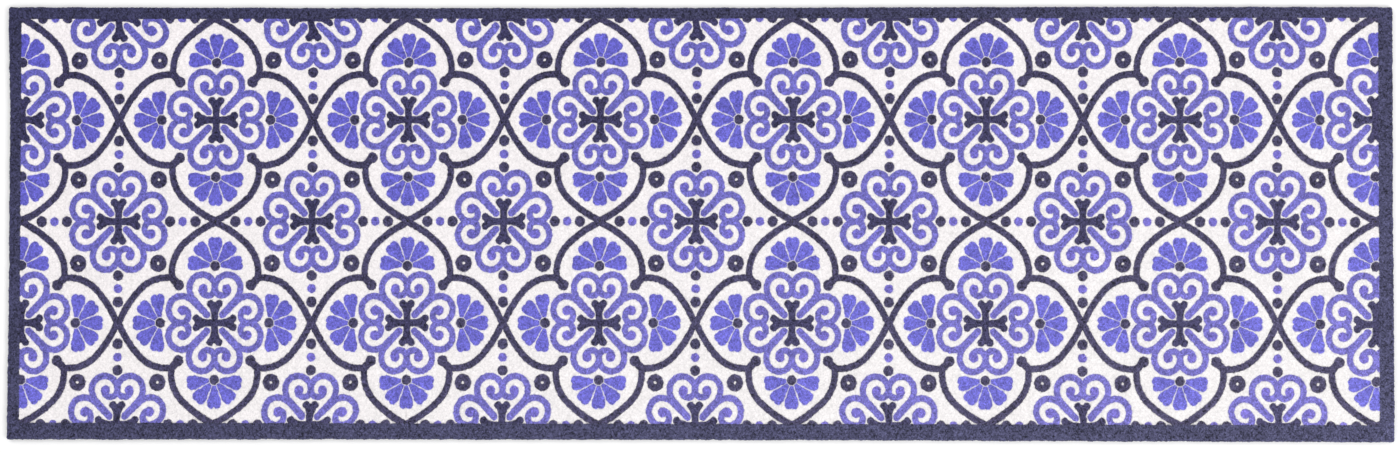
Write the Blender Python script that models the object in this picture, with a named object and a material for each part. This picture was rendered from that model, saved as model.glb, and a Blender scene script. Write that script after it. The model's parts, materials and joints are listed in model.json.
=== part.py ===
"""Printed cut-pile runner rug with a bonded rubber backing.

The rug lies flat on the floor, +Z up, with its length along X, its width along Y and the
origin under its middle, on the floor.  It is a stack of bonded layers: rubber sheet, tufting
carrier and pile.  The pile has two dye zones, a patterned field and a dark border round it.
"""

import math

import bmesh
import bpy

# Overall size of the rug, in metres.
LENGTH = 1.600
WIDTH = 0.500
CORNER_RADIUS = 0.0025

# Layers, from the floor up.
RUBBER_THICKNESS = 0.0016
CARRIER_THICKNESS = 0.0006
PILE_HEIGHT = 0.0040
BOND_GAP = 0.0003

# The tufts splay out past the cut edge of the two layers that hold them.
BACKING_INSET = 0.0008

# Width of the dark border on each side.  The print isn't quite centred on the cut rug.
BORDER_LEFT = 0.0133
BORDER_RIGHT = 0.0156
BORDER_FRONT = 0.0182
BORDER_BACK = 0.0128
DYE_LINE_GAP = 0.0003

# The pile's outer top edge is worn round.
PILE_EDGE_RADIUS = 0.0012
EDGE_SEGMENTS = 3
CORNER_SEGMENTS = 6

# How far a cutter runs past the faces that it cuts through.
CUTTER_MARGIN = 0.002


def material(name, color, roughness):
    """A Principled BSDF material with one colour, for a non-metallic piece."""
    made = bpy.data.materials.new(name)
    made.use_nodes = True
    shader = made.node_tree.nodes["Principled BSDF"]
    shader.inputs["Base Color"].default_value = (*color, 1.0)
    shader.inputs["Roughness"].default_value = roughness
    shader.inputs["Metallic"].default_value = 0.0
    made.diffuse_color = (*color, 1.0)
    return made


def rounded_rectangle(left, right, front, back, radius):
    """Points of a rectangle with round corners, counter-clockwise from above."""
    corners = (
        (right - radius, front + radius, -90.0),
        (right - radius, back - radius, 0.0),
        (left + radius, back - radius, 90.0),
        (left + radius, front + radius, 180.0),
    )
    points = []
    for centre_x, centre_y, start in corners:
        for step in range(CORNER_SEGMENTS + 1):
            angle = math.radians(start + 90.0 * step / CORNER_SEGMENTS)
            points.append(
                (centre_x + radius * math.cos(angle), centre_y + radius * math.sin(angle))
            )
    return points


def slab(name, outline, bottom, top, edge_radius=0.0):
    """A flat closed slab of one outline, with its top edge rounded where edge_radius is given."""
    mesh = bpy.data.meshes.new(name)
    shape = bmesh.new()
    base = shape.faces.new([shape.verts.new((x, y, bottom)) for x, y in outline])
    raised = bmesh.ops.extrude_face_region(shape, geom=[base])["geom"]
    moved = [item for item in raised if isinstance(item, bmesh.types.BMVert)]
    bmesh.ops.translate(shape, verts=moved, vec=(0.0, 0.0, top - bottom))
    if edge_radius:
        rim = [edge for edge in shape.edges if set(edge.verts) <= set(moved)]
        bmesh.ops.bevel(
            shape,
            geom=rim,
            offset=edge_radius,
            segments=EDGE_SEGMENTS,
            profile=0.5,
            affect="EDGES",
        )
    bmesh.ops.recalc_face_normals(shape, faces=shape.faces)
    shape.to_mesh(mesh)
    shape.free()
    made = bpy.data.objects.new(name, mesh)
    bpy.context.scene.collection.objects.link(made)
    return made


def finish(piece, finish_material, parent):
    """Gives a piece its material, smooth round edges and its place in the rug."""
    piece.data.materials.append(finish_material)
    piece.data.shade_smooth()
    piece.data.set_sharp_from_angle(angle=math.radians(35.0))
    piece.parent = parent


def build():
    half_length = LENGTH / 2
    half_width = WIDTH / 2
    rubber_top = RUBBER_THICKNESS
    carrier_bottom = rubber_top + BOND_GAP
    carrier_top = carrier_bottom + CARRIER_THICKNESS
    pile_bottom = carrier_top + BOND_GAP
    pile_top = pile_bottom + PILE_HEIGHT

    rug = bpy.data.objects.new("runner_rug", None)
    bpy.context.scene.collection.objects.link(rug)

    rug_outline = rounded_rectangle(
        -half_length, half_length, -half_width, half_width, CORNER_RADIUS
    )
    backing_outline = rounded_rectangle(
        BACKING_INSET - half_length,
        half_length - BACKING_INSET,
        BACKING_INSET - half_width,
        half_width - BACKING_INSET,
        CORNER_RADIUS,
    )

    # Where the border's inner edge runs.
    dye_left = BORDER_LEFT - half_length
    dye_right = half_length - BORDER_RIGHT
    dye_front = BORDER_FRONT - half_width
    dye_back = half_width - BORDER_BACK
    border_opening = ((dye_left, dye_front), (dye_right, dye_front),
                      (dye_right, dye_back), (dye_left, dye_back))
    field_left = dye_left + DYE_LINE_GAP
    field_right = dye_right - DYE_LINE_GAP
    field_front = dye_front + DYE_LINE_GAP
    field_back = dye_back - DYE_LINE_GAP
    field_outline = ((field_left, field_front), (field_right, field_front),
                     (field_right, field_back), (field_left, field_back))

    rubber = slab("rubber_backing", backing_outline, 0.0, rubber_top)
    finish(rubber, material("rubber", (0.030, 0.031, 0.034), 0.75), rug)

    carrier = slab("tufting_carrier", backing_outline, carrier_bottom, carrier_top)
    finish(carrier, material("carrier", (0.52, 0.51, 0.49), 0.90), rug)

    field = slab("pile_field", field_outline, pile_bottom, pile_top)
    finish(field, material("field_pile", (0.66, 0.62, 0.82), 0.95), rug)

    border = slab("pile_border", rug_outline, pile_bottom, pile_top, PILE_EDGE_RADIUS)
    opening = slab(
        "border_cutter",
        border_opening,
        pile_bottom - CUTTER_MARGIN,
        pile_top + CUTTER_MARGIN,
    )
    opening.hide_render = True
    opening.display_type = "WIRE"
    opening.parent = rug
    cut = border.modifiers.new("opening", "BOOLEAN")
    cut.operation = "DIFFERENCE"
    cut.solver = "EXACT"
    cut.object = opening
    finish(border, material("border_pile", (0.060, 0.058, 0.114), 0.95), rug)


for old in list(bpy.data.objects):
    bpy.data.objects.remove(old)
build()
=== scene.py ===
"""Looks of the printed cut-pile runner rug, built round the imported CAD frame.

The pile is real relief: a mesh of tufts whose dye zones are separate closed pieces that meet
along the printed outlines.  The print is one square quarter tile, stretched a little and
mirrored over the whole field.  Lengths are in millimetres, but those of the materials, floor,
light and camera are in metres.
"""

import itertools
import json
import math

import bpy
import numpy as np
from mathutils import Matrix, Vector
from mathutils.geometry import delaunay_2d_cdt

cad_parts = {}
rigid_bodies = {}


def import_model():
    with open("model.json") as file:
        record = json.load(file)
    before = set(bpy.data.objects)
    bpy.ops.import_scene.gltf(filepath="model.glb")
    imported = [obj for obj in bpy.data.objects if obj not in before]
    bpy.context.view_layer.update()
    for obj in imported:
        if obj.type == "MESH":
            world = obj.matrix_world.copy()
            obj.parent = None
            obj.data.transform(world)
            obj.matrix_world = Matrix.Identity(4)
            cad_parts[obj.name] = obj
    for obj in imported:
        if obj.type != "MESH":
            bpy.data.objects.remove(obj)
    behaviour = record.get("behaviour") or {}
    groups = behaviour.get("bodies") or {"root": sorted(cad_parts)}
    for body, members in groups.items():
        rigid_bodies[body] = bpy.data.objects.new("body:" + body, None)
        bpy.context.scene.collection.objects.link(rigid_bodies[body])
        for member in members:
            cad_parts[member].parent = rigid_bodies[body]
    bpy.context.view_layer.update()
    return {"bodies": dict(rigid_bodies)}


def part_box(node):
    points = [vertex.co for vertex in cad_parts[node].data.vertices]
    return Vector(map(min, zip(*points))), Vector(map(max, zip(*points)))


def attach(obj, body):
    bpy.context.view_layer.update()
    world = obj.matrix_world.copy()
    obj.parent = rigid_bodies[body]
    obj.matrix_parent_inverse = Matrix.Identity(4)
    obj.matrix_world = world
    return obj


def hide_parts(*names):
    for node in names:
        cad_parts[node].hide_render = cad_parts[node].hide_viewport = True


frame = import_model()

MM = 0.001
# The attribute holds the dye each point took, times its tone, which includes painted shade in the
# pits between tufts.
DYE_AND_PIT_SHADE = "dye_and_pit_shade"
OWN_MAP = "OFBake"
BODY = sorted(frame["bodies"])[0]
SEED = 20

# ---- the frame


def box_mm(node):
    """Lowest and highest corner of a CAD node, in millimetres."""
    low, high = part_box(node)
    return np.array(low) / MM, np.array(high) / MM


rug_low, rug_high = box_mm("pile_border")
field_low, field_high = box_mm("pile_field")
carrier_low, carrier_high = box_mm("tufting_carrier")
rubber_low, rubber_high = box_mm("rubber_backing")

PILE_TOP = rug_high[2]
PILE_FOOT = rug_low[2]
# The field's edge runs down the middle of the gap between the CAD's two dye zones.
HALF_DYE_GAP = 0.15
FIELD_LOW, FIELD_HIGH = field_low[:2] - HALF_DYE_GAP, field_high[:2] + HALF_DYE_GAP
FIELD_LEFT, FIELD_FRONT = FIELD_LOW
FIELD_RIGHT, FIELD_BACK = FIELD_HIGH

# ---- the printed tile

# The tile is drawn square and symmetric about its diagonal, then stretched along and across
# the rug.  The first whole tile has its corner at PATTERN_X, PATTERN_Y.
TILE = 111.47
STRETCH_X = 1.00302
STRETCH_Y = 1.0582
TILE_LENGTH = TILE * STRETCH_X
PATTERN_X = -784.8
PATTERN_Y = -115.71
COLUMNS = 14
# Dye zones.  A later one covers an earlier one, EDGE is the border and HOLE shows the ground.
GROUND, SCROLL, PETAL, EYE, LATTICE, CROSS, DOT, EDGE, HOLE = range(9)
OUTLINE_STEP = 1.3

# Tufts stand on a triangular grid that fits the tile, so that mirrored copies meet.
TUFTS_ACROSS = 43
TUFT_ROWS = 50
TUFT_PITCH = TILE / TUFTS_ACROSS
TUFT_ROW = TILE / TUFT_ROWS
# How far single tuft points stay from an outline and from the tile's sides, and how close two
# points are when they become one.
CLEAR_OF_OUTLINE = 0.55
CLEAR_OF_SIDE = 0.35
SAME_POINT = 0.004
NO_POINTS = np.zeros((0, 2))


def disc(x, y, radius):
    """Outline of a round dot."""
    count = max(10, round(2 * math.pi * radius / OUTLINE_STEP))
    angles = np.arange(count) * 2 * math.pi / count
    return np.c_[x + radius * np.cos(angles), y + radius * np.sin(angles)]


def stroke(x, y, heading, runs, half_width):
    """Outline of a brush stroke.

    A run is (length,) for a straight or (radius, sweep) for an arc that turns clockwise.
    """
    left, right = [], []
    angle = math.radians(heading)
    for run in runs:
        if len(run) == 1:
            along = np.linspace(0.0, run[0], max(2, round(run[0] / OUTLINE_STEP)))
            middle = np.c_[x + along * math.cos(angle), y + along * math.sin(angle)]
            angles = np.full(len(along), angle)
        else:
            radius, sweep = run[0], math.radians(run[1])
            count = max(3, round((radius + half_width) * sweep / OUTLINE_STEP))
            angles = angle - np.linspace(0.0, sweep, count)
            centre = np.array([x + radius * math.sin(angle), y - radius * math.cos(angle)])
            middle = centre + radius * np.c_[-np.sin(angles), np.cos(angles)]
        side = half_width * np.c_[-np.sin(angles), np.cos(angles)]
        first = 1 if left else 0
        left.append((middle + side)[first:])
        right.append((middle - side)[first:])
        x, y = middle[-1]
        angle = angles[-1]
    return np.concatenate(left + [np.concatenate(right)[::-1]])


def stepped(outline):
    """The outline with points added along its long edges."""
    points = []
    for start, end in zip(outline, np.roll(outline, -1, axis=0)):
        count = max(1, round(np.linalg.norm(end - start) / OUTLINE_STEP))
        points += [start + (end - start) * k / count for k in range(count)]
    return np.array(points)


def widening_arm(along, half_width):
    """Outline of an arm along +X, from its half-width at each place along it."""
    return np.r_[np.c_[along, half_width], np.c_[along, -half_width][::-1]]


def turned(outline, angle, x):
    """The outline turned by an angle in degrees, then moved along x."""
    c, s = math.cos(math.radians(angle)), math.sin(math.radians(angle))
    return outline @ np.array([[c, s], [-s, c]]) + (x, 0.0)


def cross_motif():
    """One arm of the cross at the middle of every medallion, with its two end knobs."""
    reach, knob_offset, knob_radius = 21.2, 4.95, 4.2
    waist, swell, swell_from = 3.9, 0.033, 8.0
    along = np.linspace(0.0, reach, round(reach / OUTLINE_STEP))
    arm = widening_arm(along, waist + swell * np.maximum(along - swell_from, 0.0) ** 2)
    start, notch, start_half, notch_half = reach - 1.0, 22.6, 4.6, 4.2
    bridge = np.array([(start, -start_half), (notch, -notch_half),
                       (notch, notch_half), (start, start_half)])
    knobs = [disc(reach, side * knob_offset, knob_radius) for side in (-1, 1)]
    return [arm, bridge] + knobs


def scroll_motif():
    """The curled scroll of a medallion, with its round foot."""
    foot_x, foot_y, heading, half_width = 8.9, 8.5, 43.6, 3.5
    stem = (22.6,)
    shoulder, crook, curl = (19.35, 40.9), (14.7, 186.6), (7.85, 168.2)
    line = stroke(foot_x, foot_y, heading, (stem, shoulder, crook, curl), half_width)
    return [line, disc(foot_x, foot_y, half_width)]


# Where the palmette fans out from its dot, on the tile's axis.
FAN_X = 62.6


def palmette_motif():
    """Five notched petals that fan out from the dot on the axis, with even gaps between them."""
    spacing, gap = 41.4, 0.85
    root, shoulder = 6.3, 26.9
    narrowest, swell, widest = 3.45, 0.018, 7.8
    lobe_offset, lobe_radius = 3.1, 4.8
    along = np.linspace(root, shoulder, 15)
    half = narrowest + swell * (along - root) ** 2
    half = np.minimum(half, along * math.tan(math.radians(spacing / 2)) - gap / 2)
    outlines = [widening_arm(along, np.minimum(half, widest))]
    outlines += [disc(shoulder, side * lobe_offset, lobe_radius) for side in (-1, 1)]
    return [turned(outline, step * spacing, FAN_X)
            for step in range(-2, 3) for outline in outlines]


def lattice_motif():
    """The ogee outline between medallions, with the spur and knob inside its corner."""
    corner, heading, half_width = 49.26, 8.5, 3.7
    shoulder, flank = (42.7, 55.0), (123.6, 23.5)
    bars = stroke(corner, corner, heading, (shoulder, flank), half_width)
    spur_from, spur_length, spur_half_width = corner + 1.5, 10.0, 4.2
    spur = stroke(spur_from, spur_from, 225.0, ((spur_length,),), spur_half_width)
    knob, knob_radius = 41.6, 5.95
    return [bars, spur, disc(corner, corner, half_width + 0.3), disc(knob, knob, knob_radius)]


def motifs():
    """(zone, outline) of everything drawn in one quarter tile, before mirroring."""
    curl_x, curl_y, curl_radius = 37.45, 13.6, 5.2
    fan_dot_radius = 5.5
    dotted_line = ((DOT, 23.0, 5.9), (EYE, 37.7, 4.9), (DOT, 52.1, 5.8))
    ring, ring_radius, hole_radius = 65.45, 9.4, 1.65
    drawn = [(SCROLL, outline) for outline in scroll_motif()]
    drawn += [(EYE, disc(curl_x, curl_y, curl_radius))]
    drawn += [(CROSS, outline) for outline in cross_motif()]
    drawn += [(zone, TILE - outline) for zone, outline in drawn]
    drawn += [(PETAL, outline) for outline in palmette_motif()]
    drawn += [(DOT, disc(FAN_X, 0.0, fan_dot_radius))]
    drawn += [(LATTICE, outline) for outline in lattice_motif()]
    drawn += [(zone, disc(TILE, y, radius)) for zone, y, radius in dotted_line]
    drawn = [(zone, stepped(outline)) for zone, outline in drawn]
    drawn += [(zone, outline[:, ::-1]) for zone, outline in drawn]
    drawn += [(DOT, disc(ring, ring, ring_radius)), (HOLE, disc(ring, ring, hole_radius))]
    return drawn


def mirrored_into_tile(drawn):
    """The motifs and their mirror images in the tile's four sides, where they reach the tile."""
    kept = []
    mirrors = (None, 0.0, 2 * TILE)
    overlap = 0.01
    for zone, outline in drawn:
        seen = set()
        for mirror_pair in itertools.product(mirrors, mirrors):
            copy = outline.copy()
            for axis, mirror in enumerate(mirror_pair):
                if mirror is not None:
                    copy[:, axis] = mirror - copy[:, axis]
            reaches = (copy.max(0) > overlap).all() and (copy.min(0) < TILE - overlap).all()
            key = tuple(np.round(np.sort(copy, axis=0).ravel(), 3))
            if reaches and key not in seen:
                seen.add(key)
                kept.append((zone, copy))
    return kept


def tuft_height(points):
    """1 on the crown of a tuft and 0 in the pit between three of them."""
    across = 2 * math.pi * points[:, 0] / TUFT_PITCH
    along = math.pi * points[:, 1] / TUFT_ROW
    waves = np.cos(across + along) + np.cos(across - along) + np.cos(2 * along)
    lowest, highest = -1.5, 3.0
    return (waves - lowest) / (highest - lowest)


def tuft_points(width, height):
    """Tuft crowns and the pits between them, from 0 to width and height."""
    rows = np.arange(-1, round(height / TUFT_ROW) + 2)
    columns = np.arange(-1, round(width / TUFT_PITCH) + 2)
    x, y = np.meshgrid(columns * TUFT_PITCH, rows * TUFT_ROW)
    x = x + (rows % 2)[:, None] * TUFT_PITCH / 2
    crowns = np.c_[x.ravel(), y.ravel()]
    pits_up = crowns + (TUFT_PITCH / 2, TUFT_ROW / 3)
    pits_down = crowns + (0.0, 2 * TUFT_ROW / 3)
    return np.r_[crowns, pits_up, pits_down]


def near_outline(points, outlines):
    """True for each point that is too close to an outline's edges."""
    close = np.zeros(len(points), bool)
    for outline in outlines:
        low, high = outline.min(0) - CLEAR_OF_OUTLINE, outline.max(0) + CLEAR_OF_OUTLINE
        chosen = np.flatnonzero(((points > low) & (points < high)).all(1) & ~close)
        here = points[chosen, None, :] - outline[None]
        run = np.roll(outline, -1, axis=0) - outline
        share = (here * run).sum(2) / np.maximum((run**2).sum(1), 1e-9)
        gap = here - np.clip(share, 0, 1)[..., None] * run
        close[chosen] = ((gap**2).sum(2) < CLEAR_OF_OUTLINE**2).any(1)
    return close


def domain_edge_points(width, height):
    """Points round the tile, about as far apart as the tuft grid's own points."""
    before_corner = 0.4
    across = np.arange(0.0, width - before_corner, TUFT_PITCH / 2)
    up = np.arange(0.0, height - before_corner, TUFT_ROW * 2 / 3)
    bottom = np.c_[across, np.zeros(len(across))]
    right = np.c_[np.full(len(up), width), up]
    top = np.c_[across[1:], np.full(len(across) - 1, height)]
    left = np.c_[np.zeros(len(up) - 1), up[1:]]
    return np.r_[bottom, right, [(width, height)], top[::-1], left[::-1]]


def counter_clockwise(loop):
    """The loop, in the direction that the triangulation takes as going round its inside."""
    after = np.roll(loop, -1, axis=0)
    turn = (loop[:, 0] * after[:, 1] - after[:, 0] * loop[:, 1]).sum()
    return loop if turn > 0 else loop[::-1]


def triangulate(loops, loose):
    """(points, triangles, the loops round each triangle, each point's place among those given,
    and the place of the first loose point)."""
    loops = [counter_clockwise(loop) for loop in loops]
    points = np.concatenate(loops + [loose])
    faces = []
    first = 0
    for loop in loops:
        faces.append(list(range(first, first + len(loop))))
        first += len(loop)
    vectors = [Vector(point) for point in points.tolist()]
    every_triangle = 0
    made = delaunay_2d_cdt(vectors, [], faces, every_triangle, SAME_POINT, True)
    found = np.array([tuple(p) for p in made[0]])
    given = np.array([min(ids) if ids else -1 for ids in made[3]])
    return found, np.array(made[2]), made[5], given, first


def tile_mesh(drawn, width, height, with_tufts):
    """(points, triangles, zone of each triangle, loose flags) of one tile."""
    domain = domain_edge_points(width, height)
    shown = [(zone, outline) for zone, outline in drawn
             if (outline.min(0) < (width, height)).all()]
    outlines = [outline for _, outline in shown]
    loose = NO_POINTS
    if with_tufts:
        loose = tuft_points(width, height)
        to_sides = np.minimum(loose, (width, height) - loose).min(1)
        loose = loose[to_sides > CLEAR_OF_SIDE]
        loose = loose[~near_outline(loose, outlines)]
    points, triangles, loops, given, first_loose = triangulate([domain] + outlines, loose)
    zone_of_loop = np.array([GROUND] + [zone for zone, _ in shown])
    zones = np.array([max(zone_of_loop[list(ids)]) if 0 in ids else -1 for ids in loops])
    keep = zones >= GROUND
    zones = np.where(zones == HOLE, GROUND, zones)
    return points, triangles[keep], zones[keep], given >= first_loose


def cells():
    """Every tile, whole or cut off by the field's edge.

    Each is (corner, direction, length) along the rug, then the same three across it.
    """
    upper = PATTERN_Y + 2 * TILE * STRETCH_Y
    rows = [
        (PATTERN_Y, -1, (PATTERN_Y - FIELD_FRONT) / STRETCH_Y),
        (PATTERN_Y, 1, TILE),
        (upper, -1, TILE),
        (upper, 1, (FIELD_BACK - upper) / STRETCH_Y),
    ]
    columns = [(PATTERN_X, -1, (PATTERN_X - FIELD_LEFT) / STRETCH_X)]
    for column in range(COLUMNS):
        backward = column % 2
        corner = PATTERN_X + (column + backward) * TILE_LENGTH
        columns.append((corner, -1 if backward else 1, TILE))
    last = PATTERN_X + COLUMNS * TILE_LENGTH
    columns.append((last, 1, (FIELD_RIGHT - last) / STRETCH_X))
    return [(*column, *row) for row in rows for column in columns]


def field_mesh():
    """The whole field: points, tuft heights, loose flags, and the top and foot triangles."""
    drawn = mirrored_into_tile(motifs())
    made = {}
    parts = []
    count = 0
    for a_x, sign_x, width, a_y, sign_y, height in cells():
        key = (round(width, 4), round(height, 4))
        if key not in made:
            made[key] = [tile_mesh(drawn, width, height, tufts) for tufts in (True, False)]
        for layer, (points, triangles, zones, loose) in enumerate(made[key]):
            placed = np.c_[a_x + sign_x * STRETCH_X * points[:, 0],
                           a_y + sign_y * STRETCH_Y * points[:, 1]]
            order = triangles if sign_x * sign_y > 0 else triangles[:, ::-1]
            parts.append((placed, tuft_height(points), loose, order + count, zones, layer))
            count += len(points)
    points, heights, loose = [np.concatenate([part[k] for part in parts]) for k in range(3)]
    _, first, index = np.unique(
        np.round(points, 2), axis=0, return_index=True, return_inverse=True
    )
    layers = []
    for layer in (0, 1):
        here = [part for part in parts if part[5] == layer]
        triangles = index.reshape(-1)[np.concatenate([part[3] for part in here])]
        zones = np.concatenate([part[4] for part in here])
        whole = (triangles != np.roll(triangles, 1, axis=1)).all(1)
        layers.append((triangles[whole], zones[whole]))
    return points[first], heights[first], loose[first], layers


# ---- irregularity of real pile


def wave_noise(points, seed, shortest, longest):
    """Smooth noise of about -1 to 1, a sum of waves of these lengths."""
    count, peak = 18, 1.6
    rng = np.random.default_rng(seed)
    total = np.zeros(len(points))
    for _ in range(count):
        angle, phase = rng.uniform(0, 2 * math.pi, 2)
        length = math.exp(rng.uniform(math.log(shortest), math.log(longest)))
        turn = 2 * math.pi / length
        total += np.sin(turn * (points @ (math.cos(angle), math.sin(angle))) + phase)
    return total / math.sqrt(count / 2) / peak


# How far the print has crept along the rug at these places, and how much further at its back.
CREEP_AT = (-785, -720, -560, -448, -330, -100, 450, 720, 784)
CREEP = (0.0, 0.6, 2.2, 2.8, 2.0, 1.1, -0.7, -0.85, 0.0)
CREEP_SHEAR = 1.3
# How far it has crept across the rug: more towards the front and back, less towards the ends.
BOW_ACROSS, SLANT_ACROSS, BOW_ALONG, SHIFT_ACROSS = 0.57, 0.62, 0.92, 0.12
# The creep fades out over this distance from the field's edge.
CREEP_FADE = 16.0


def print_creep(points):
    """How far the printed cloth crept while it was dyed; none of it at the field's edge."""
    x, y = (points / rug_high[:2]).T
    along = np.interp(points[:, 0], CREEP_AT, CREEP) + CREEP_SHEAR * (1 - x * x) * y
    across = BOW_ACROSS * y * y - SLANT_ACROSS * y - BOW_ALONG * x * x - SHIFT_ACROSS
    inside = np.minimum(points - FIELD_LOW, FIELD_HIGH - points).min(1)
    share = np.clip(inside / CREEP_FADE, 0, 1)
    return np.c_[along, across] * (share * share * (3 - 2 * share))[:, None]


RAGGED = 0.30
JITTER = 0.2
JITTER_ON_OUTLINE = 0.45


def strayed(points, loose):
    """The points moved as tufts stray: the creep of the print, a ragged dye edge, loose tufts."""
    rng = np.random.default_rng(SEED)
    ragged = np.c_[wave_noise(points, 3, 3, 9), wave_noise(points, 4, 3, 9)] * RAGGED
    jitter = np.clip(rng.normal(0, JITTER, points.shape), -2 * JITTER, 2 * JITTER)
    jitter *= np.where(loose, 1.0, JITTER_ON_OUTLINE)[:, None]
    return points + print_creep(points) + ragged + jitter


# How deep a pit between tufts is, how unevenly tufts are cut, lie over and are matted, and the
# most of all that together.
TUFT_DEPTH = 0.85
UNEVEN_CUT, UNEVEN_LAY, MATTED = 0.16, 0.10, 0.09
DEEPEST = 1.7


def pile_surface(points, heights):
    """Height of the pile's top at each point: rounded tufts, some matted and some proud."""
    rng = np.random.default_rng(SEED + 1)
    depth = TUFT_DEPTH * (1 - heights) * rng.uniform(0.55, 1.15, len(points))
    cut = UNEVEN_CUT * rng.random(len(points))
    lay = UNEVEN_LAY * (1 + wave_noise(points, 5, 12, 70))
    matted = MATTED * (1 + wave_noise(points, 6, 4, 9))
    return PILE_TOP - np.clip(depth + cut + lay + matted, 0.0, DEEPEST)


def tuft_tones(points, heights, seed):
    """How much lighter or darker each point is than its own dye, from -1 to 1.

    Pits are painted darker than crowns, painted shade between the tufts, and single tufts differ
    at random in how much dye they took.
    """
    painted_pit_shade, mean_height, scatter, patches = 0.3, 0.45, 0.46, 0.09
    rng = np.random.default_rng(seed)
    # Painted shade: the pits between tufts come out darker than the crowns.
    tone = painted_pit_shade * (heights - mean_height) + rng.normal(0.0, scatter, len(points))
    return np.clip(tone + patches * wave_noise(points, 7, 25, 120), -1.0, 1.0)


BLEED_INTO_GROUND = 0.34
BLEED_INTO_DYE = 0.06


def bled_dye(zone, met, dyes):
    """The dye at each point over the zone's own dye: neighbours bleed in along an outline.

    met tells which zones meet at each point.  The pale ground takes up most of the dye, and a
    dark zone is only a little paler at its edge.
    """
    others = met.copy()
    others[:, zone] = False
    count = others.sum(1)
    mean = others @ dyes / np.maximum(count, 1)[:, None]
    uneven = np.random.default_rng(SEED + 7).uniform(0.3, 1.7, len(met))
    share = uneven * (count > 0) * (BLEED_INTO_GROUND if zone == GROUND else BLEED_INTO_DYE)
    return 1 + share[:, None] * (mean / dyes[zone] - 1)


# ---- meshes


def boundary_edges(triangles):
    """Directed edges that only one triangle has."""
    edges = np.concatenate([triangles[:, [0, 1]], triangles[:, [1, 2]], triangles[:, [2, 0]]])
    key = np.sort(edges, axis=1).astype(np.int64)
    key = key[:, 0] * (1 << 32) + key[:, 1]
    _, first, count = np.unique(key, return_index=True, return_counts=True)
    return edges[first[count == 1]]


def new_object(name, data):
    made = bpy.data.objects.new(name, data)
    bpy.context.scene.collection.objects.link(made)
    return made


def mesh_object(name, coordinates, triangles, quads, smooth, material, dye_and_pit_shade=None):
    """An object from triangles and quads; smooth tells which faces are smooth.

    The last argument gives what each point took of its dye, for each colour, with painted shade in
    the pits between tufts; the pile's materials read it.
    """
    mesh = bpy.data.meshes.new(name)
    corners = np.concatenate([triangles.ravel(), quads.ravel()]).astype(np.int32)
    totals = np.r_[np.full(len(triangles), 3), np.full(len(quads), 4)].astype(np.int32)
    starts = (np.cumsum(totals) - totals).astype(np.int32)
    mesh.vertices.add(len(coordinates))
    mesh.vertices.foreach_set("co", (coordinates * MM).astype(np.float32).ravel())
    mesh.loops.add(len(corners))
    mesh.loops.foreach_set("vertex_index", corners)
    mesh.polygons.add(len(totals))
    mesh.polygons.foreach_set("loop_start", starts)
    mesh.polygons.foreach_set("loop_total", totals)
    mesh.update(calc_edges=True)
    mesh.polygons.foreach_set("use_smooth", np.asarray(smooth, bool))
    if dye_and_pit_shade is not None:
        layer = mesh.attributes.new(DYE_AND_PIT_SHADE, "FLOAT_COLOR", "POINT")
        shares = np.c_[dye_and_pit_shade, np.ones(len(dye_and_pit_shade))]
        layer.data.foreach_set("color", shares.astype(np.float32).ravel())
    mesh.validate()
    mesh.materials.append(material)
    return new_object(name, mesh)


def closed_layer(name, flat, top_z, dye_and_pit_shade, top, foot, material):
    """A closed piece with relief on top, straight walls and a flat foot."""
    used_top, used_foot = np.unique(top), np.unique(foot)
    top_index, foot_index = np.full((2, len(flat)), -1)
    top_index[used_top] = np.arange(len(used_top))
    foot_index[used_foot] = np.arange(len(used_foot)) + len(used_top)
    coordinates = np.r_[
        np.c_[flat[used_top], top_z[used_top]],
        np.c_[flat[used_foot], np.full(len(used_foot), PILE_FOOT)],
    ]
    rim = boundary_edges(top)
    rim = rim[(foot_index[rim] >= 0).all(1)]
    walls = np.c_[top_index[rim[:, ::-1]], foot_index[rim]]
    triangles = np.r_[top_index[top], foot_index[foot[:, ::-1]]]
    smooth = np.r_[np.ones(len(top)), np.zeros(len(foot) + len(walls))]
    used = np.r_[used_top, used_foot]
    return mesh_object(name, coordinates, triangles, walls, smooth, material, dye_and_pit_shade[used])


# ---- own maps


def read_all(items, name, kind, width=1):
    values = np.empty(len(items) * width, kind)
    items.foreach_get(name, values)
    return values


def face_arrays(mesh):
    """(corner points, face of each corner, place in its face, face centres, face normals)."""
    points = read_all(mesh.vertices, "co", np.float32, 3).reshape(-1, 3)
    corners = read_all(mesh.loops, "vertex_index", np.int32)
    starts = read_all(mesh.polygons, "loop_start", np.int32)
    totals = read_all(mesh.polygons, "loop_total", np.int32)
    normals = read_all(mesh.polygons, "normal", np.float32, 3).reshape(-1, 3)
    face = np.repeat(np.arange(len(totals)), totals)
    place = np.arange(len(corners)) - starts[face]
    corner_points = points[corners] / MM
    centres = np.add.reduceat(corner_points, starts) / totals[:, None]
    return corner_points, face, place, centres, normals


def write_map(mesh, u, v):
    """Writes the mesh's own map."""
    layer = mesh.uv_layers.new(name=OWN_MAP)
    layer.data.foreach_set("uv", np.c_[u, v].astype(np.float32).ravel())


# How far the rows reach across the map, then the strip beside them, then the walls' cells.
MAIN_SHARE = 0.83
STRIP_FROM, STRIP_TO = 0.84, 0.90
CELLS_FROM, CELLS_TO = 0.91, 0.995
SQUARE = np.array([(0, 0), (1, 0), (1, 1), (0, 1)])
# A face is a wall where its normal rises less than this.
WALL_RISE = 0.3


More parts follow.
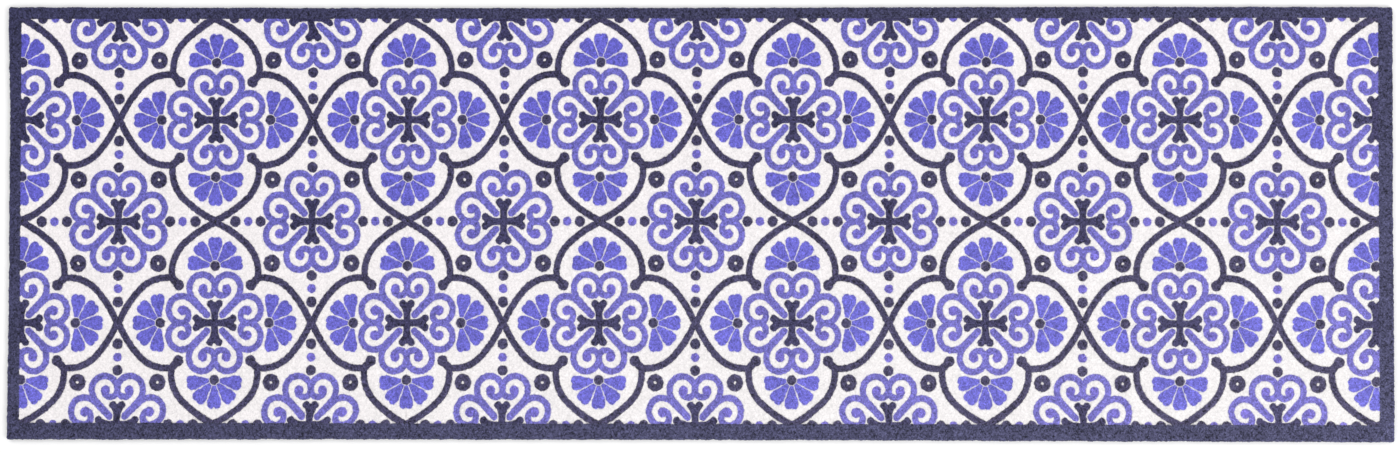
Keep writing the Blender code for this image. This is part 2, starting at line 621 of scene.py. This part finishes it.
def unwrap(piece, row_starts, facing=1):
    """A map of faces seen from above (facing 1) or below (-1), cut at x into stacked rows.

    The opposite faces are squeezed into a strip beside the rows, and each wall gets a cell.
    """
    points, face, place, centres, normals = face_arrays(piece.data)
    side = normals[:, 2] * facing
    starts = np.array(row_starts)
    row = np.maximum(np.searchsorted(starts, centres[:, 0]) - 1, 0)
    low, high = points.min(0), points.max(0)
    starts[0] = low[0]
    ends = np.r_[starts[1:], high[0]]
    gap = 4.0
    tall = high[1] - low[1] + gap
    size = max(tall * len(starts), ((ends - starts).max() + gap) / MAIN_SHARE)
    x = points[:, 0] - starts[row[face]] + gap / 2
    v = (points[:, 1] - low[1] + gap / 2 + row[face] * tall) / size
    u = np.clip(x / size, 0.0, MAIN_SHARE)
    squeezed = STRIP_FROM + (STRIP_TO - STRIP_FROM) * u / MAIN_SHARE
    u = np.where(side[face] < 0, squeezed, u)
    wall = np.abs(side) < WALL_RISE
    across = round(math.sqrt(wall.sum() * (CELLS_TO - CELLS_FROM)))
    rows = -(-wall.sum() // across)
    number = (np.cumsum(wall) - 1)[face]
    inset = 0.1 + 0.8 * SQUARE[np.minimum(place, 3)]
    cell_u = CELLS_FROM + (CELLS_TO - CELLS_FROM) * (number % across + inset[:, 0]) / across
    u = np.where(wall[face], cell_u, u)
    v = np.where(wall[face], (number // across + inset[:, 1]) / rows, v)
    write_map(piece.data, u, v)


# Each long and each short side of the band is cut into this many strips.
BAND_STRIPS = np.array([5, 2])
NARROWEST_BAND = 8.0


def from_sides(points):
    """How far each point is from the rug's front, right, back and left side."""
    x, y = points[:, 0], points[:, 1]
    return np.c_[y - rug_low[1], rug_high[0] - x, rug_high[1] - y, x - rug_low[0]]


def unroll_band(piece):
    """A map of the border unrolled side by side, from its inner wall down to its foot."""
    points, face, _, centres, normals = face_arrays(piece.data)
    each_face, each_corner = np.arange(len(centres)), np.arange(len(face))
    to_sides = from_sides(centres)
    side = to_sides.argmin(1)
    axis = side % 2
    inset = from_sides(points)[each_corner, side[face]]
    depth = PILE_TOP - points[:, 2]
    inner = (np.abs(normals[:, 2]) < WALL_RISE) & (to_sides.min(1) > NARROWEST_BAND)
    over_side = inset - 1.5 * np.maximum(depth - DEEPEST, 0)
    across = np.where(inner[face], inset + 0.4 * depth, over_side)
    across = np.where((normals[:, 2] < -0.9)[face], -4.2 - 0.15 * inset, across)
    strips = BAND_STRIPS[axis]
    length = (rug_high - rug_low)[axis] / strips
    part = np.clip((centres[each_face, axis] - rug_low[axis]) // length, 0, strips - 1)
    start = rug_low[axis] + part * length
    along = points[each_corner, axis[face]] - start[face]
    strip = np.cumsum([0, *BAND_STRIPS, BAND_STRIPS[0]])[side] + part
    margin, lowest, above = 3.0, 9.0, 2.0
    tall = across.max() + lowest + above
    span = max(tall * 2 * BAND_STRIPS.sum(), length.max() + 2 * margin)
    u = (along + margin) / span
    v = (strip[face] * tall + lowest + across) / span
    write_map(piece.data, np.clip(u, 0.0, 1.0), np.clip(v, 0.0, 1.0))


# ---- materials


# How bright white pile looks under the lights, with the shade between its own tufts.
LIGHT_ON_FLAT = 1.035


def dye(*look):
    """The dye's own linear colour, from how it looks in the studio light, in sRGB of 0 to 255."""
    color = []
    for value in look:
        value /= 255
        linear = value / 12.92 if value <= 0.04045 else ((value + 0.055) / 1.055) ** 2.4
        color.append(min(linear / LIGHT_ON_FLAT, 0.95))
    return (*color, 1.0)


class Nodes:
    """Short calls for building a material's nodes."""

    def __init__(self, name):
        self.material = bpy.data.materials.new(name)
        self.material.use_nodes = True
        self.tree = self.material.node_tree
        self.shader = self.tree.nodes["Principled BSDF"]
        self.place = self.add("ShaderNodeTexCoord", {})["Object"]

    def fill(self, node, inputs):
        """Sets a node's inputs, each to a value or to another node's output."""
        for key, value in inputs.items():
            if isinstance(value, bpy.types.NodeSocket):
                self.tree.links.new(value, node.inputs[key])
            else:
                node.inputs[key].default_value = value

    def add(self, kind, inputs, **settings):
        """The outputs of a new node with these settings and inputs."""
        node = self.tree.nodes.new(kind)
        for name, value in settings.items():
            setattr(node, name, value)
        self.fill(node, inputs)
        return node.outputs

    def math(self, operation, first, second):
        return self.add("ShaderNodeMath", {0: first, 1: second}, operation=operation)["Value"]

    def spread(self, source, low, high, to_low, to_high):
        """The source's range low to high, stretched to a new range."""
        ranges = {"From Min": low, "From Max": high, "To Min": to_low, "To Max": to_high}
        return self.add("ShaderNodeMapRange", {"Value": source, **ranges})["Result"]

    def along(self, axis, start, end):
        """0 at start and 1 at end, in metres along an axis."""
        place = self.add("ShaderNodeSeparateXYZ", {"Vector": self.place})
        return self.spread(place[axis], start, end, 0.0, 1.0)

    def noise(self, scale, detail, roughness, low=0.3, high=0.7):
        """Noise of this many features per metre, whose range low to high becomes 0 to 1."""
        inputs = {"Vector": self.place, "Scale": scale, "Detail": detail, "Roughness": roughness}
        return self.spread(self.add("ShaderNodeTexNoise", inputs)["Fac"], low, high, 0.0, 1.0)

    def yarn_ends(self, scale):
        """1 on the end of a yarn and 0 between ends, with this many ends per metre."""
        cells = self.add("ShaderNodeTexVoronoi", {"Vector": self.place, "Scale": scale})
        return self.spread(cells["Distance"], 0.2, 0.85, 1.0, 0.0)

    def weave(self, scale):
        """Height of a plain weave with about this many threads per metre."""
        inputs = {"Vector": self.place, "Scale": scale / 3.1416, "Distortion": 0.3}
        threads = [self.add("ShaderNodeTexWave", inputs, bands_direction=direction)["Fac"]
                   for direction in "XY"]
        return self.math("MULTIPLY", *threads)

    def times(self, first, second):
        """A colour times a colour or a number."""
        number = second.type == "VALUE"
        inputs = {0: first, "Scale" if number else 1: second}
        operation = "SCALE" if number else "MULTIPLY"
        return self.add("ShaderNodeVectorMath", inputs, operation=operation)["Vector"]

    def blend(self, first, second, share):
        """The sum of two patterns, of which the first has this share."""
        return self.math("ADD", self.math("MULTIPLY", first, share),
                         self.math("MULTIPLY", second, 1 - share))

    def mix(self, factor, first, second):
        """Between two colours."""
        first_color, second_color, mixed_color = 6, 7, 2
        inputs = {"Factor": factor, first_color: first, second_color: second}
        return self.add("ShaderNodeMix", inputs, data_type="RGBA")[mixed_color]

    def surface(self, color, pattern, smoothest, roughest, specular):
        """Sets the colour, a roughness that follows a pattern, and the specular level."""
        roughness = self.spread(pattern, 0.0, 1.0, smoothest, roughest)
        self.fill(self.shader, {"Base Color": color, "Roughness": roughness,
                                "Specular IOR Level": specular})

    def bump(self, height, distance, strength):
        inputs = {"Height": height, "Distance": distance, "Strength": strength}
        normal = self.add("ShaderNodeBump", inputs)["Normal"]
        self.fill(self.shader, {"Normal": normal})


def pile_material(name, near, far, contrast, sheen=0.12):
    """Cut pile in one dye: yarn ends of fine fibres, and tufts that took more or less dye.

    near is the colour at the rug's back left corner and far the one at its front right; the change
    from one to the other is painted light, lighter towards the front right. The fine grain is
    painted shade among the fibres as well as their own tone, and the pits between tufts carry
    painted shade.
    """
    nodes = Nodes(name)
    # Painted light: the colour lightens from the rug's back left to its front right.
    across = nodes.along("X", -0.8, 0.8)
    down = nodes.along("Y", 0.25, -0.25)
    body = nodes.mix(nodes.blend(across, down, 0.5), near, far)
    fibre = nodes.noise(2200, detail=3.0, roughness=0.6)
    grain = nodes.blend(nodes.yarn_ends(1000), fibre, 0.6)
    # Painted shade among the fibres: darker between yarn ends, together with the fibres' own
    # random tone.
    fibre_tone_and_shade = nodes.spread(grain, 0.1, 0.9, 1 - 0.5 * contrast, 1 + 0.5 * contrast)
    dye_with_pit_shade = nodes.add("ShaderNodeAttribute", {}, attribute_name=DYE_AND_PIT_SHADE)["Color"]
    # The colour is the dye with the painted light across the rug, the painted shade in the pits
    # and the painted shade among the fibres.
    dyed = nodes.times(nodes.times(body, dye_with_pit_shade), fibre_tone_and_shade)
    nodes.surface(dyed, fibre, smoothest=0.82, roughest=0.98, specular=0.2)
    nodes.fill(nodes.shader, {"Sheen Weight": sheen, "Sheen Roughness": 0.5})
    nodes.bump(grain, distance=0.0004, strength=0.75)
    return nodes.material


def carrier_material():
    """Bonded nonwoven: pale grey fibres laid every way, with denser and thinner spots."""
    nodes = Nodes("carrier_nonwoven")
    fibre = nodes.noise(1400, detail=4.0, roughness=0.7)
    cloud = nodes.noise(90, detail=2.0, roughness=0.5)
    tone = nodes.blend(fibre, cloud, 0.6)
    color = nodes.mix(tone, (0.40, 0.39, 0.37, 1.0), (0.62, 0.61, 0.59, 1.0))
    nodes.surface(color, fibre, smoothest=0.8, roughest=0.95, specular=0.2)
    nodes.bump(fibre, distance=0.0002, strength=0.6)
    return nodes.material


def rubber_material():
    """Matt black rubber with a fine fabric emboss and a little dust."""
    nodes = Nodes("rubber_backing")
    thread_spacing = 0.0009
    weave = nodes.weave(1 / thread_spacing)
    grime = nodes.noise(45, detail=4.0, roughness=0.6, low=0.35, high=0.75)
    color = nodes.mix(grime, (0.026, 0.027, 0.030, 1.0), (0.050, 0.050, 0.052, 1.0))
    nodes.surface(color, grime, smoothest=0.62, roughest=0.82, specular=0.35)
    nodes.bump(weave, distance=0.00012, strength=0.8)
    return nodes.material


# Each zone's dye at the rug's back left and front right, where the change from one to the other is
# painted light, and how strong the tufts' uneven dye and the painted shade in the pits and among
# the fibres are.
DARK = (dye(59, 56, 91), dye(83, 79, 108), 0.95)
LOOKS = {
    GROUND: (dye(247, 241, 243), dye(244, 241, 241), 0.15),
    SCROLL: (dye(105, 102, 188), dye(129, 123, 204), 0.6),
    PETAL: (dye(97, 94, 196), dye(123, 120, 218), 0.55),
    EYE: (dye(103, 99, 194), dye(131, 121, 208), 0.58),
    LATTICE: DARK,
    CROSS: (dye(51, 49, 86), dye(77, 74, 108), 0.95),
    DOT: DARK,
    EDGE: (dye(56, 56, 87), dye(81, 81, 111), 0.95),
}
PIECE_ZONES = {"scrolls": SCROLL, "eyes": EYE, "petals": PETAL, "lattice": LATTICE,
               "crosses": CROSS, "dots": DOT}
GROUND_SPANS = 4


def own_piece(piece, node):
    """Hides the CAD node that a finished piece replaces and attaches the piece to its body."""
    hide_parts(node)
    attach(piece, BODY)


def build_pile():
    """The pile's pieces: one for each dye zone, the ground in spans, and the border."""
    flat, heights, loose, (top, foot) = field_mesh()
    placed = strayed(flat, loose)
    top_z = pile_surface(flat, heights)
    tones = tuft_tones(flat, heights, SEED + 4)[:, None]
    rim = field_rim(flat, top[0])
    met = np.zeros((len(flat), HOLE), bool)
    met[top[0].ravel(), np.repeat(top[1], 3)] = True
    met[rim, EDGE] = True
    dyes = np.array([np.mean(LOOKS[zone][:2], axis=0)[:3] for zone in range(HOLE)])
    # Each point's dye, times its tone, which includes painted shade in the pits between tufts.
    dye_with_pit_shade = {zone: bled_dye(zone, met, dyes) * (1 + look[2] * tones)
             for zone, look in LOOKS.items()}
    pieces = []
    for name, zone in PIECE_ZONES.items():
        layer = [triangles[found == zone] for triangles, found in (top, foot)]
        name = f"pile_{name}"
        material = pile_material(name, *LOOKS[zone])
        piece = closed_layer(name, placed, top_z, dye_with_pit_shade[zone], *layer, material)
        unwrap(piece, (rug_low[0], PATTERN_X + COLUMNS / 2 * TILE_LENGTH))
        pieces.append(piece)
    material = pile_material("pile_ground", *LOOKS[GROUND], sheen=0.05)
    for span in range(GROUND_SPANS):
        layer = []
        for triangles, found in (top, foot):
            x = flat[triangles].mean(1)[:, 0]
            column = np.floor((x - PATTERN_X) / TILE_LENGTH)
            here = np.clip(column * GROUND_SPANS // COLUMNS, 0, GROUND_SPANS - 1) == span
            layer.append(triangles[(found == GROUND) & here])
        name = f"pile_ground_{span + 1}"
        piece = closed_layer(name, placed, top_z, dye_with_pit_shade[GROUND], *layer, material)
        unwrap(piece, (flat[layer[0]][..., 0].min() - 1,))
        pieces.append(piece)
    for piece in pieces:
        own_piece(piece, "pile_field")
    return pieces + [build_border(flat, placed, top_z, dye_with_pit_shade[EDGE], rim)]


# ---- border and backing


def round_rectangle(low, high, radius, step):
    """Arc centres and outward directions round a rectangle with round corners.

    The outline is the centres plus the radius times the directions, and a smaller radius gives
    an inner ring.
    """
    (left, front), (right, back) = low + radius, high - radius
    turns = np.array(((right, front), (right, back), (left, back), (left, front)))
    centres, angles = [], []
    for corner, here in enumerate(turns):
        run = turns[(corner + 1) % 4] - here
        count = round(np.abs(run).sum() / step)
        centres += [here] * CORNER_POINTS
        centres += [here + run * share for share in np.arange(1, count) / count]
        end = 90.0 * corner
        angles += [*np.linspace(end - 90.0, end, CORNER_POINTS), *[end] * (count - 1)]
    angles = np.radians(angles)
    return np.array(centres), np.c_[np.cos(angles), np.sin(angles)]


def ring_quads(lower, upper, count):
    """Quads between two rings of points, each given by the place of its first point."""
    here = np.arange(count)
    after = (here + 1) % count
    return np.c_[lower + here, lower + after, upper + after, upper + here]


def stacked_quads(levels, count):
    """Quads of a wall between rings of points that are stacked one above the other."""
    return np.concatenate([ring_quads(k * count, (k + 1) * count, count)
                           for k in range(levels - 1)])


def field_rim(flat, top):
    """Places of the field's outermost points, in order round the field."""
    rim = np.unique(boundary_edges(top))
    x, y = flat[rim].T
    near = 0.02
    sides = ((y - FIELD_FRONT, x), (x - FIELD_RIGHT, y), (y - FIELD_BACK, -x),
             (x - FIELD_LEFT, -y))
    order = []
    for gap, along in sides:
        on_side = np.abs(gap) < near
        order += list(rim[on_side][np.argsort(along[on_side])])[:-1]
    return np.array(order)


BORDER_CORNER = 2.6
BORDER_STEP = 1.25
CORNER_POINTS = 5
# Rings of the border's side, from the foot up: inset from the outline, height over the foot
# and how far the ring follows the outline's waves.
SIDE_RINGS = (
    (1.00, 0.00, 0.5), (0.35, 0.80, 0.9), (0.00, 1.80, 1.0),
    (0.10, 2.70, 1.0), (0.60, 3.35, 0.9), (1.50, 3.72, 0.5),
)

# How far the cut edge strays outward at five places along each side, from left to right and
# from front to back, and how steeply that fades out towards the rug's middle.
STRAY_FRONT = (1.5, 0.6, 0.3, 0.9, 1.5)
STRAY_BACK = (1.2, -0.3, -0.5, 0.2, -0.4)
STRAY_LEFT = (1.2, -0.1, -0.3, -0.5, 2.2)
STRAY_RIGHT = (1.4, 1.3, 0.6, 0.9, 0.9)
STRAY_POWER = 8


def cut_stray(points):
    """How far the cut edge strays, near each side of the rug."""
    places = np.linspace(-1, 1, len(STRAY_FRONT))
    x, y = (points / rug_high[:2]).T
    left, right = -np.interp(y, places, STRAY_LEFT), np.interp(y, places, STRAY_RIGHT)
    front, back = -np.interp(x, places, STRAY_FRONT), np.interp(x, places, STRAY_BACK)
    along_x, along_y = np.where(x > 0, right, left), np.where(y > 0, back, front)
    return np.c_[along_x * x**STRAY_POWER, along_y * y**STRAY_POWER]


def side_rings():
    """The border's rounded, tufted side as rings of points, from the foot up."""
    centres, outward = round_rectangle(rug_low[:2], rug_high[:2], BORDER_CORNER, BORDER_STEP)
    outline = centres + BORDER_CORNER * outward
    waves = 0.26 * wave_noise(outline, 40, 14, 80) + 0.22 * wave_noise(outline, 41, 5, 12)
    fuzz, uneven_rise, pull_in = 0.16, 0.15, 0.15
    rng = np.random.default_rng(SEED + 2)
    rings = []
    for level, (inset, height, follow) in enumerate(SIDE_RINGS):
        tufts = 0.20 * wave_noise(outline, 42 + level // 2, 2.4, 3.6)
        fuzzed = waves + tufts + rng.uniform(-fuzz, fuzz, len(outline))
        reach = BORDER_CORNER - inset + follow * fuzzed - pull_in
        flat = centres + outward * reach[:, None]
        rise = rng.uniform(-uneven_rise, uneven_rise, len(outline)) * (level > 0)
        rings.append(np.c_[flat, PILE_FOOT + height + rise])
    return rings


def filled(loops, loose=NO_POINTS):
    """Triangles inside the first loop and outside the second, as places of the given points."""
    _, triangles, around, given, _ = triangulate(loops, loose)
    keep = np.array([0 in ids and 1 not in ids for ids in around])
    return given[triangles[keep]]


def build_border(flat, placed, top_z, dye_with_pit_shade, rim):
    """The plain dark band, whose inner edge shares the field's outermost points."""
    rings = side_rings()
    count = len(rings[0])
    from_cut, from_field, cut_reach = 2.1, 0.75, 12.0
    grid = tuft_points(*(rug_high - rug_low)[:2])
    loose = grid + rug_low[:2]
    in_field = ((loose > FIELD_LOW - from_field) & (loose < FIELD_HIGH + from_field)).all(1)
    chosen = (from_sides(loose).min(1) > from_cut) & ~in_field
    grid, loose = grid[chosen], loose[chosen]
    loose_heights = tuft_height(grid)
    near_cut = np.clip(1 - from_sides(loose).min(1) / cut_reach, 0, 1)[:, None]
    loose_placed = strayed(loose, np.ones(len(loose))) + cut_stray(loose) * near_cut
    coordinates = np.concatenate(
        [ring + np.c_[cut_stray(ring[:, :2]), np.zeros(count)] for ring in rings]
        + [np.c_[placed[rim], top_z[rim]]]
        + [np.c_[placed[rim], np.full(len(rim), PILE_FOOT)]]
        + [np.c_[loose_placed, pile_surface(loose, loose_heights)]]
    )
    side = np.concatenate(rings)[:, :2]
    # The border's tones include painted shade in the pits between its tufts.
    tones = (tuft_tones(side, np.full(len(side), 0.5), SEED + 5),
             tuft_tones(loose, loose_heights, SEED + 6))
    own = [np.c_[1 + LOOKS[EDGE][2] * tone] @ np.ones((1, 3)) for tone in tones]
    dye_and_pit_shade = np.r_[own[0], dye_with_pit_shade[rim], dye_with_pit_shade[rim], own[1]]
    first_rim = len(rings) * count
    first_foot = first_rim + len(rim)
    first_loose = first_foot + len(rim)
    places = np.r_[first_rim - count:first_foot, first_loose:first_loose + len(loose)]
    top_faces = places[filled([rings[-1][:, :2], flat[rim]], loose)]
    places = np.r_[0:count, first_foot:first_loose]
    foot_faces = places[filled([rings[0][:, :2], flat[rim]])][:, ::-1]
    side_quads = stacked_quads(len(rings), count)
    quads = np.r_[side_quads, ring_quads(first_rim, first_foot, len(rim))]
    triangles = np.r_[top_faces, foot_faces]
    smooth = np.r_[np.ones(len(top_faces)), np.zeros(len(foot_faces)),
                   np.ones(len(side_quads)), np.zeros(len(rim))]
    piece = mesh_object("pile_edge_band", coordinates, triangles, quads, smooth,
                        pile_material("pile_border", *LOOKS[EDGE]), dye_and_pit_shade)
    unroll_band(piece)
    own_piece(piece, "pile_border")
    return piece


def build_carrier(pile_pieces, rubber):
    """The nonwoven sheet that holds the tufts, a little frayed where it was cut."""
    low, high = carrier_low[:2], carrier_high[:2]
    middle = (carrier_low[2] + carrier_high[2]) / 2
    radius, step, bond, worn, fuzz = 2.5, 2.0, 0.28, 0.25, 0.12
    levels = ((worn, carrier_low[2] - bond), (0.0, middle), (worn, carrier_high[2] + bond))
    centres, outward = round_rectangle(low, high, radius, step)
    outline = centres + radius * outward
    count = len(outline)
    rng = np.random.default_rng(SEED + 3)
    rings = []
    for inset, height in levels:
        fray = 0.15 * wave_noise(outline, 60, 3, 20) + rng.uniform(-fuzz, fuzz, count)
        flat = centres + outward * (radius - inset + fray)[:, None]
        rings.append(np.c_[flat, np.full(count, height)])
    margin, spacing, scatter, cockle = 4.0, 6.0, 1.5, 0.05
    x, y = np.meshgrid(*[np.arange(low[axis] + margin, high[axis] - margin, spacing)
                         for axis in (0, 1)])
    loose = np.c_[x.ravel(), y.ravel()] + rng.uniform(-scatter, scatter, (x.size, 2))
    coordinates = list(rings)
    faces = []
    for level, (ring, sign) in enumerate(((rings[0], -1), (rings[-1], 1))):
        first = 3 * count + level * len(loose)
        places = np.r_[np.arange(count) + 2 * count * level, first:first + len(loose)]
        chosen = places[filled([ring[:, :2]], loose)]
        faces.append(chosen if sign > 0 else chosen[:, ::-1])
        height = ring[0, 2] - sign * cockle * (1 + wave_noise(loose, 61 + level, 15, 60))
        coordinates.append(np.c_[loose, height])
    triangles = np.concatenate(faces)
    quads = stacked_quads(3, count)
    smooth = np.ones(len(triangles) + len(quads))
    piece = mesh_object("carrier_sheet", np.concatenate(coordinates), triangles, quads, smooth,
                        carrier_material())
    unwrap(piece, (low[0] - 1, 0.0))
    own_piece(piece, "tufting_carrier")
    return piece


WAFFLE_PITCH = 9.4
WAFFLE_GROOVE = 1.1
WAFFLE_DEPTH = 0.5
RUBBER_RIM = 4.0
RUBBER_CORNER = 2.5
# The sheet's lower edge is chamfered this wide, and to this share of a groove's depth.
CHAMFER_WIDTH = 0.5
CHAMFER_SHARE = 0.6


def waffle_lines(low, high):
    """Grid lines along one axis, and the share of a groove's depth at each."""
    start, end = low + RUBBER_RIM, high - RUBBER_RIM
    cells = round((end - start) / WAFFLE_PITCH)
    pitch = (end - start) / cells
    lines, depths = [low, low + CHAMFER_WIDTH], [CHAMFER_SHARE, 0.0]
    for cell in range(cells + 1):
        middle = start + cell * pitch
        lines += [middle - WAFFLE_GROOVE, middle, middle + WAFFLE_GROOVE]
        depths += [0.0, 1.0, 0.0]
    lines += [high - CHAMFER_WIDTH, high]
    return np.array(lines), np.array(depths + [0.0, CHAMFER_SHARE])


def build_rubber():
    """The rubber sheet, with a waffle of shallow grooves underneath that grips the floor."""
    low, high = rubber_low[:2], rubber_high[:2]
    across, deep_across = waffle_lines(low[0], high[0])
    along, deep_along = waffle_lines(low[1], high[1])
    x, y = np.meshgrid(across, along)
    depth = np.maximum(*np.meshgrid(deep_across, deep_along)) * WAFFLE_DEPTH
    flat = np.c_[x.ravel(), y.ravel()]
    inner = np.clip(flat, low + RUBBER_CORNER, high - RUBBER_CORNER)
    away = flat - inner
    length = np.linalg.norm(away, axis=1)
    over = length > RUBBER_CORNER
    flat[over] = inner[over] + away[over] * (RUBBER_CORNER / length[over])[:, None]
    place = np.arange(x.size).reshape(x.shape)
    under = np.c_[place[:-1, :-1].ravel(), place[1:, :-1].ravel(),
                  place[1:, 1:].ravel(), place[:-1, 1:].ravel()]
    loop = np.r_[place[0, :-1], place[:-1, -1], place[-1, :0:-1], place[:0:-1, 0]]
    count = len(loop)
    into_bond, edge_height, edge_width = 0.02, 0.25, 0.2
    top_z = rubber_high[2] + into_bond
    first = x.size
    centre = (low + high) / 2
    pulled = flat[loop] - np.sign(flat[loop] - centre) * edge_width
    coordinates = np.r_[np.c_[flat, depth.ravel()],
                        np.c_[flat[loop], np.full(count, top_z - edge_height)],
                        np.c_[pulled, np.full(count, top_z)]]
    wall = ring_quads(0, first, count)
    wall[:, 0], wall[:, 1] = loop, np.roll(loop, -1)
    quads = np.r_[under, wall, ring_quads(first, first + count, count)]
    top = filled([pulled]) + first + count
    smooth = np.zeros(len(top) + len(quads))
    piece = mesh_object("rubber_sheet", coordinates, top, quads, smooth, rubber_material())
    unwrap(piece, (low[0] - 1, 0.0), facing=-1)
    own_piece(piece, "rubber_backing")
    return piece


def build_floor():
    """A plain pale floor, just under the rubber."""
    clearance, half_size = 0.0002, 8.0
    level = rubber_low[2] * MM - clearance
    mesh = bpy.data.meshes.new("floor")
    corners = [((2 * x - 1) * half_size, (2 * y - 1) * half_size, level) for x, y in SQUARE]
    mesh.from_pydata(corners, [], [(0, 1, 2, 3)])
    floor = new_object("floor", mesh)
    nodes = Nodes("floor")
    nodes.fill(nodes.shader, {"Base Color": (0.97, 0.97, 0.97, 1.0), "Roughness": 0.9,
                              "Specular IOR Level": 0.1})
    mesh.materials.append(nodes.material)


def build_light():
    """A white room with two large soft lamps, each aimed at the rug's middle."""
    world = bpy.data.worlds.new("studio")
    bpy.context.scene.world = world
    world.use_nodes = True
    backdrop = world.node_tree.nodes["Background"]
    backdrop.inputs["Color"].default_value = (1.0, 1.0, 1.0, 1.0)
    backdrop.inputs["Strength"].default_value = 0.84
    softboxes = (("key", (2.6, -1.6, 3.4), 2.2, 67.0), ("fill", (-3.0, 2.0, 3.6), 2.4, 38.0))
    for name, spot, size, power in softboxes:
        lamp = bpy.data.lights.new(name, "AREA")
        lamp.shape = "SQUARE"
        lamp.size = size
        lamp.energy = power
        made = new_object(name, lamp)
        made.location = spot
        made.rotation_euler = (-Vector(spot)).to_track_quat("-Z", "Y").to_euler()


def build_camera():
    """The photograph was taken from nearly straight above, a little front and right of centre."""
    spot = Vector((0.0946, -0.1029, 3.8238))
    aim = Vector((0.0032, -0.0039, PILE_TOP * MM))
    roll = -0.00112
    camera = bpy.data.cameras.new("camera")
    camera.lens = 85.0
    camera.sensor_width = 36.0
    camera.clip_end = 50.0
    made = new_object("camera", camera)
    made.location = spot
    forward = (aim - spot).normalized()
    right = forward.cross(Vector((math.sin(roll), math.cos(roll), 0.0))).normalized()
    upward = right.cross(forward)
    made.rotation_euler = Matrix((right, upward, -forward)).transposed().to_euler()
    bpy.context.scene.camera = made


build_camera()
build_light()
build_floor()
build_carrier(build_pile(), build_rubber())
bpy.context.scene.view_settings.view_transform = "Standard"
